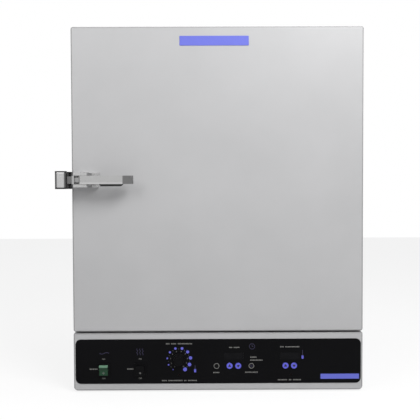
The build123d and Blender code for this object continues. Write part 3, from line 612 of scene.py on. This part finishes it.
def finishes(colours):
    """The materials of the record's slots, by slot."""
    return {
        "body_paint": enamel("body_paint_look", tuple(colours.paint)),
        "stainless": brushed("stainless_look", (0.60, 0.60, 0.59), 0),
        "zinc_plate": brushed("zinc_look", (0.55, 0.56, 0.57), 1, (0.34, 0.5)),
        "bright_wire": plated("wire_look", (0.72, 0.72, 0.71)),
        "latch_chrome": plated("latch_look", (0.46, 0.46, 0.46), (0.22, 0.34)),
        "hinge_steel": brushed("hinge_look", (0.52, 0.53, 0.54), 2, (0.3, 0.42)),
        "probe_steel": brushed("probe_look", (0.66, 0.66, 0.66), 2, (0.16, 0.26)),
        "heater_sheath": brushed("heater_look", (0.12, 0.115, 0.11), 1, (0.45, 0.62), 0.7),
        "mineral_wool": wool("wool_look", (0.52, 0.45, 0.26)),
        "seal": soft("seal_look", (0.10, 0.10, 0.105)),
        "foot_rubber": soft("foot_look", (0.012, 0.012, 0.012)),
        "faceplate": film("faceplate_look", tuple(colours.face)),
        "display_window": moulded("window_look", (0.003, 0.003, 0.004), (0.10, 0.16), 0.07, 300),
        "black_plastic": moulded("black_look", (0.0025, 0.0025, 0.003), (0.34, 0.46), 0.05),
        "green_rocker": rocker_with_painted_highlight("rocker_look", tuple(colours.green), tuple(colours.bright)),
        "blue_key": moulded("blue_key_look", tuple(colours.blue), (0.4, 0.5), 0.2),
        "dark_key": moulded("dark_key_look", (0.003, 0.003, 0.0035), (0.4, 0.5), 0.06),
        "lamp_lens": moulded("lamp_look", (0.003, 0.0015, 0.0015), (0.08, 0.14), 0.06, 200),
        "circuit_board": laminate("board_look", (0.02, 0.12, 0.05)),
        "relay_body": brushed("relay_look", (0.50, 0.50, 0.51), 2, (0.3, 0.42)),
        "terminal_plastic": moulded("terminal_look", (0.50, 0.48, 0.42), (0.4, 0.55)),
    }


def ink_of(name, colour):
    """A printed ink, made once and shared."""
    return bpy.data.materials.get(name) or ink(name, tuple(colour))


class OVEN_OT_finishes(bpy.types.Operator):
    """Give every CAD node the finish of its slot"""

    bl_idname = "oven.finishes"
    bl_label = "Finishes"

    def execute(self, context):
        looks = finishes(context.scene.oven_colours)
        for part in frame["record"]["subparts"]:
            paint_node(part["node"], looks[part["material_slot"]])
        colour = tuple(context.scene.oven_colours.paint)
        # Painted shade in a 2.6 mm band along the edges of the door and the control housing.
        edge_shade_width = 2.6 * mm
        paint_node("door_skin", enamel("door_look", colour, (*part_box("door_skin"), edge_shade_width)))
        paint_node("control_housing", enamel("housing_look", colour, (*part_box("control_housing"), edge_shade_width)))
        metal = (0.42, 0.42, 0.42)
        # The strike, lever and bolt get painted highlights and shade by place over their plating.
        paint_node("strike", plated("strike_look", (0.50, 0.50, 0.50), (0.2, 0.3), strike_painted_shade))
        paint_node("latch_lever", plated("lever_look", metal, (0.24, 0.36), lever_painted_light))
        paint_node("latch_bolt", plated("bolt_look", metal, (0.24, 0.36), bolt_painted_shade))
        return {"FINISHED"}


class OVEN_OT_plates(bpy.types.Operator):
    """Make the two blank blue plates: one on the door, one on the faceplate"""

    bl_idname = "oven.plates"
    bl_label = "Blank plates"

    def execute(self, context):
        sizes, colours = context.scene.oven_sizes, context.scene.oven_colours
        low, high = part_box("door_skin")
        width, height = sizes.door_plate
        plate = cushion(cornered(width, height, 1.2), 0.9, 0.004)
        where = seat("door_skin", (low[0] + high[0]) / 2 - 7.0 * mm, high[2] - 32.0 * mm)
        piece("door_plate", "door", ink_of("plate_look", colours.plate), [plate], where)
        width, height = sizes.face_plate
        field = cushion(cornered(width, height, 0.8), sizes.ink, 0.004)
        colour = ink_of("plate_look", colours.plate)
        piece("faceplate_field", "cabinet", colour, [field], face_seat(277.5, -35.8))
        return {"FINISHED"}


class OVEN_OT_latch_shade(bpy.types.Operator):
    """Make the black strip of painted shade along the pull lever's lower edge"""

    bl_idname = "oven.latch_trim"
    bl_label = "Latch shade"

    def execute(self, context):
        # Painted shade: the near black matt finish stands for the shade under the lever.
        dark = soft("lever_shade_look", (0.006, 0.006, 0.0065))
        lever_shade_strip("lever_shade", "latch_lever", dark, 44 * mm, 5.4 * mm)
        return {"FINISHED"}


class OVEN_OT_dial(bpy.types.Operator):
    """Make the dial's ten growing dots, its numbers and the short ticks between them"""

    bl_idname = "oven.dial"
    bl_label = "Dial"

    def execute(self, context):
        sizes, colours = context.scene.oven_sizes, context.scene.oven_colours
        low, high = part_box("limit_knob")
        above = 24 * mm
        point, out = seat("control_overlay", (low[0] + high[0]) / 2, (low[2] + high[2]) / 2 + above)
        where = (point - [0, 0, above], out)
        first, step, count = 210, 33.15, 10
        turn = np.radians(90 - (first + step * np.arange(count)))
        spot = np.column_stack([np.cos(turn), np.sin(turn)])
        share = np.linspace(0, 1, count)
        widths = sizes.dot_small + (sizes.dot_large - sizes.dot_small) * share ** 0.9
        dots = [
            moved(cushion(circle(width / 2, 28), sizes.ink), *(sizes.dial_radius * place))
            for width, place in zip(widths, spot)
        ]
        piece("dial_dots", "cabinet", ink_of("dot_look", colours.blue), dots, where)
        marks = [
            moved(lettering(str(number + 1), sizes.number_size, sizes.ink), *(sizes.number_radius * place))
            for number, place in enumerate(spot)
        ]
        between = (turn[:-1] + turn[1:]) / 2
        for angle in between:
            aim = np.array([np.cos(angle), np.sin(angle)])
            marks.append(stroke([aim * 23.6, aim * 25.4], 0.5, sizes.ink))
        piece("dial_numbers", "cabinet", ink_of("grey_look", colours.grey), marks, where)
        return {"FINISHED"}


class OVEN_OT_switch_marks(bpy.types.Operator):
    """Make the words at the two switches and the round mark on each rocker"""

    bl_idname = "oven.switch_marks"
    bl_label = "Switch marks"

    def execute(self, context):
        sizes, colours = context.scene.oven_sizes, context.scene.oven_colours
        grey = ink_of("grey_look", colours.grey)
        words = []
        for node in ("power_switch_frame", "timer_switch_frame"):
            offset = (centre(node)[0] - centre("control_overlay")[0]) / mm
            words.append(moved(lettering("ON", sizes.word_size, sizes.ink), offset, 5.6))
            words.append(moved(lettering("OFF", sizes.word_size, sizes.ink), offset, -38.8))
        piece("switch_words", "cabinet", grey, words, face_seat(0, 0))
        for node, name in (("power_rocker", "power_mark"), ("timer_rocker", "timer_mark")):
            piece(name, node, grey, [hoop(1.9, 0.7, 0.12)], front_seat(node, 6.2))
        return {"FINISHED"}


class OVEN_OT_key_marks(bpy.types.Operator):
    """Make the marks on the six keys: triangles on the blue ones, rings on the dark ones"""

    bl_idname = "oven.key_marks"
    bl_label = "Key marks"

    def execute(self, context):
        sizes, colours = context.scene.oven_sizes, context.scene.oven_colours
        black = ink_of("black_ink_look", colours.face)
        grey = ink_of("grey_look", colours.grey)
        for name in ("timer", "temperature"):
            for way in ("up", "down"):
                key = f"{name}_{way}_button"
                shape = cushion(triangle(3.6, way == "up"), sizes.ink)
                piece(f"{name}_{way}_mark", key, black, [shape], front_seat(key))
        for key, size in (("reset_button", 6.3), ("start_button", 6.1)):
            ring = [hoop(size, 1.1, sizes.ink)]
            piece(key.replace("button", "ring"), key, grey, ring, front_seat(key))
        angle = np.radians(np.linspace(130, 410, 24))
        sign = [stroke(2.1 * np.column_stack([np.cos(angle), np.sin(angle)]), 0.8, sizes.ink)]
        sign.append(stroke([(0, 0.4), (0, 2.9)], 0.8, sizes.ink))
        violet = ink_of("violet_look", colours.violet)
        piece("start_sign", "start_button", violet, sign, front_seat("start_button"))
        return {"FINISHED"}


class OVEN_OT_small_print(bpy.types.Operator):
    """Make the lines of small print on the faceplate, as blocks with no words in them"""

    bl_idname = "oven.small_print"
    bl_label = "Small print"

    def execute(self, context):
        sizes, colours = context.scene.oven_sizes, context.scene.oven_colours
        lines = (
            ((5,), 18.7, -284.8, -17.1),
            ((5,), 14.6, -200.9, -17.1),
            ((3, 4, 11), 60.8, -89.6, 40.4),
            ((4, 11, 2, 7), 80.6, -89.1, -44.1),
            ((5,), 14.8, -4.8, -26.0),
            ((3, 5), 24.4, 36.2, 31.5),
            ((5,), 15.1, 80.0, 8.9),
            ((9,), 28.8, 86.9, 2.1),
            ((10,), 29.5, 75.5, -25.6),
            ((3, 11), 44.5, 163.0, 32.4),
            ((7, 2, 6), 53.9, 162.3, -43.4),
        )
        shapes = [
            moved(block, x, z)
            for counts, width, x, z in lines
            for block in small_print(counts, width, sizes.caption_height, sizes.ink)
        ]
        grey = ink_of("grey_look", colours.grey)
        piece("small_print", "cabinet", grey, shapes, face_seat(0, 0))
        return {"FINISHED"}


class OVEN_OT_symbols(bpy.types.Operator):
    """Make the dim symbols: a wave, three heat lines, a clock and two thermometers"""

    bl_idname = "oven.symbols"
    bl_label = "Symbols"

    def execute(self, context):
        sizes, colours = context.scene.oven_sizes, context.scene.oven_colours
        run = np.linspace(-1, 1, 33)
        wave = np.column_stack([10.8 * run, 1.7 * np.sin(np.pi * run)])
        shapes = [moved(stroke(wave, 1.0, sizes.ink), -260.0, 19.2)]
        rise = np.column_stack([1.1 * np.sin(2 * np.pi * run), 7.4 * run])
        shapes += [moved(stroke(rise, 0.9, sizes.ink), -178.6 + step, 22.2) for step in (-6.2, 0.0, 6.2)]
        clock = (77.1, 33.6)
        shapes.append(moved(hoop(6.6, 0.9, sizes.ink), *clock))
        for hand in ((0, 4.4), (3.0, 0)):
            shapes.append(moved(stroke([(0, 0), hand], 0.9, sizes.ink), *clock))
        gauges = ((-53.1, -21.5, 12.5), (192.4, 8.7, 16.0))
        shapes += [moved(stroke([(0, 2.0), (0, tall)], 1.1, sizes.ink), x, z) for x, z, tall in gauges]
        violet = ink_of("violet_look", colours.violet)
        piece("dim_symbols", "cabinet", violet, shapes, face_seat(0, 0))
        bulb = cushion(cornered(4.6, 8.2, 2.2), sizes.ink)
        bulbs = [moved(bulb, x, z) for x, z, tall in gauges]
        piece("bulbs", "cabinet", ink_of("dot_look", colours.blue), bulbs, face_seat(0, 0))
        return {"FINISHED"}


# Floor: half the side of its square, in metres, its rows of points, and how far back it is set

floor_half = 4.0
floor_rows = 41
floor_back = 0.5

# White: the floor's own glow and the share of it that is seen, and the sky's level for other rays

floor_glow = 1.15
floor_share = 0.7
sky_level = (0.33, 0.33, 0.335)

# Camera, fitted to the straight edges of the door and the panel: metres, degrees and a lens in mm

camera_aside = -0.02317
camera_away = 1.6
camera_height = 0.46947
camera_down = 1.936
camera_left = -0.196
camera_roll = -0.213
camera_lens = 60.517


class OVEN_OT_stage(bpy.types.Operator):
    """Make the floor, the backdrop's white, the lamps and the camera"""

    bl_idname = "oven.stage"
    bl_label = "Stage"

    def execute(self, context):
        scene = context.scene
        scene.view_settings.view_transform = "Standard"
        sheet = floor_half * np.linspace(-1, 1, floor_rows)
        across, back = np.meshgrid(sheet, sheet)
        points = np.stack([across, back + floor_back, 0.0 * across], axis=2).reshape(-1, 3)
        mesh = bpy.data.meshes.new("floor")
        mesh.from_pydata(points.tolist(), [], [face[::-1] for face in sheet_faces(floor_rows)])
        mesh.materials.append(floor_paper())
        floor = bpy.data.objects.new("floor", mesh)
        scene.collection.objects.link(floor)
        world_light(scene)
        lamp("key", (0.62, -1.30, 1.55), (0.16, -0.27, 0.66), 0.9, 0.7, 24.0)
        lamp("fill", (-1.1, -1.7, 1.35), (-0.1, -0.27, 0.6), 0.9, 0.9, 10.0)
        lamp("top", (0.0, 0.0, 2.4), (0.0, 0.0, 0.4), 1.6, 1.0, 12.0)
        data = bpy.data.cameras.new("camera")
        data.lens = camera_lens
        data.sensor_width = 36.0
        data.clip_start = 0.05
        data.clip_end = 50.0
        camera = bpy.data.objects.new("camera", data)
        aim = Matrix.Rotation(math.radians(camera_left), 4, "Z")
        aim = aim @ Matrix.Rotation(math.radians(90 - camera_down), 4, "X")
        aim = aim @ Matrix.Rotation(math.radians(camera_roll), 4, "Z")
        low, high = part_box("door_skin")
        place = Vector(((low[0] + high[0]) / 2 + camera_aside, low[1] - camera_away, camera_height))
        camera.matrix_world = Matrix.Translation(place) @ aim
        scene.collection.objects.link(camera)
        scene.camera = camera
        return {"FINISHED"}


def sheet_faces(side):
    """The four-sided faces of a square grid."""
    corner = (np.arange(side - 1)[:, None] * side + np.arange(side - 1)).reshape(-1)
    return np.column_stack([corner, corner + side, corner + side + 1, corner + 1]).tolist()


def shown_rays(graph):
    """One for rays from the camera, mirror rays and rays through glass, which all show the white."""
    rays = graph.nodes.new("ShaderNodeLightPath").outputs
    kinds = ("Is Camera Ray", "Is Glossy Ray", "Is Transmission Ray")
    camera, glossy, through = [Value(graph, rays[kind]) for kind in kinds]
    either = camera.join("MAXIMUM", camera, glossy)
    return either.join("MAXIMUM", either, through)


def floor_paper():
    """White paper that keeps shadows: part lit, part even white to the camera."""
    finish = Finish("floor_paper")
    grain = finish.noise(180, 3)
    finish.set(Base_Color=finish.tint(grain, (0.62, 0.62, 0.62), (0.66, 0.66, 0.66)), Roughness=0.9)
    seen = shown_rays(finish)
    glow = finish.add("ShaderNodeEmission", inputs={0: (1, 1, 1, 1), 1: floor_glow})
    paper = Value(finish, finish.surface.outputs[0])
    share = finish.span(seen, 0, floor_share)
    blend = finish.add("ShaderNodeMixShader", inputs={0: share, 1: paper, 2: glow})
    finish.feed(finish.nodes["Material Output"].inputs[0], blend)
    return finish.material


def world_light(scene):
    """An even pale sky, seen as plain white."""
    world = bpy.data.worlds.new("studio")
    world.use_nodes = True
    scene.world = world
    graph = Graph(world.node_tree)
    graph.nodes.clear()
    seen = shown_rays(graph)
    inputs = {0: seen, 6: (*sky_level, 1), 7: (1, 1, 1, 1)}
    tone = graph.add("ShaderNodeMix", {"data_type": "RGBA"}, inputs, output=2)
    sky = graph.add("ShaderNodeBackground", inputs={0: tone, 1: 1.0})
    output = graph.nodes.new("ShaderNodeOutputWorld")
    graph.feed(output.inputs[0], sky)


def lamp(name, place, target, width, height, power):
    """A soft rectangular lamp aimed at a point."""
    data = bpy.data.lights.new(name, "AREA")
    data.shape = "RECTANGLE"
    data.size = width
    data.size_y = height
    data.energy = power
    light = bpy.data.objects.new(name, data)
    light.location = place
    light.rotation_euler = (Vector(target) - Vector(place)).to_track_quat("-Z", "Y").to_euler()
    bpy.context.scene.collection.objects.link(light)


class OVEN_PT_panel(bpy.types.Panel):
    """The oven's steps, in order"""

    bl_idname = "OVEN_PT_panel"
    bl_label = "Bench oven"
    bl_space_type = "VIEW_3D"
    bl_region_type = "UI"
    bl_category = "Oven"

    def draw(self, context):
        column = self.layout.column(align=True)
        for step in steps:
            column.operator(step.bl_idname)
        for group in (context.scene.oven_sizes, context.scene.oven_colours):
            for key in group.__annotations__:
                column.prop(group, key)


steps = (
    OVEN_OT_finishes,
    OVEN_OT_plates,
    OVEN_OT_latch_shade,
    OVEN_OT_dial,
    OVEN_OT_switch_marks,
    OVEN_OT_key_marks,
    OVEN_OT_small_print,
    OVEN_OT_symbols,
    OVEN_OT_stage,
)
groups = (OvenSizes, OvenColours)


def register():
    for item in groups + steps + (OVEN_PT_panel,):
        bpy.utils.register_class(item)
    bpy.types.Scene.oven_sizes = bpy.props.PointerProperty(type=OvenSizes)
    bpy.types.Scene.oven_colours = bpy.props.PointerProperty(type=OvenColours)


def unregister():
    del bpy.types.Scene.oven_colours
    del bpy.types.Scene.oven_sizes
    for item in reversed(groups + steps + (OVEN_PT_panel,)):
        bpy.utils.unregister_class(item)


def main():
    register()
    bpy.ops.oven.finishes()
    bpy.ops.oven.plates()
    bpy.ops.oven.latch_trim()
    bpy.ops.oven.dial()
    bpy.ops.oven.switch_marks()
    bpy.ops.oven.key_marks()
    bpy.ops.oven.small_print()
    bpy.ops.oven.symbols()
    bpy.ops.oven.stage()


if __name__ == "__main__":
    main()
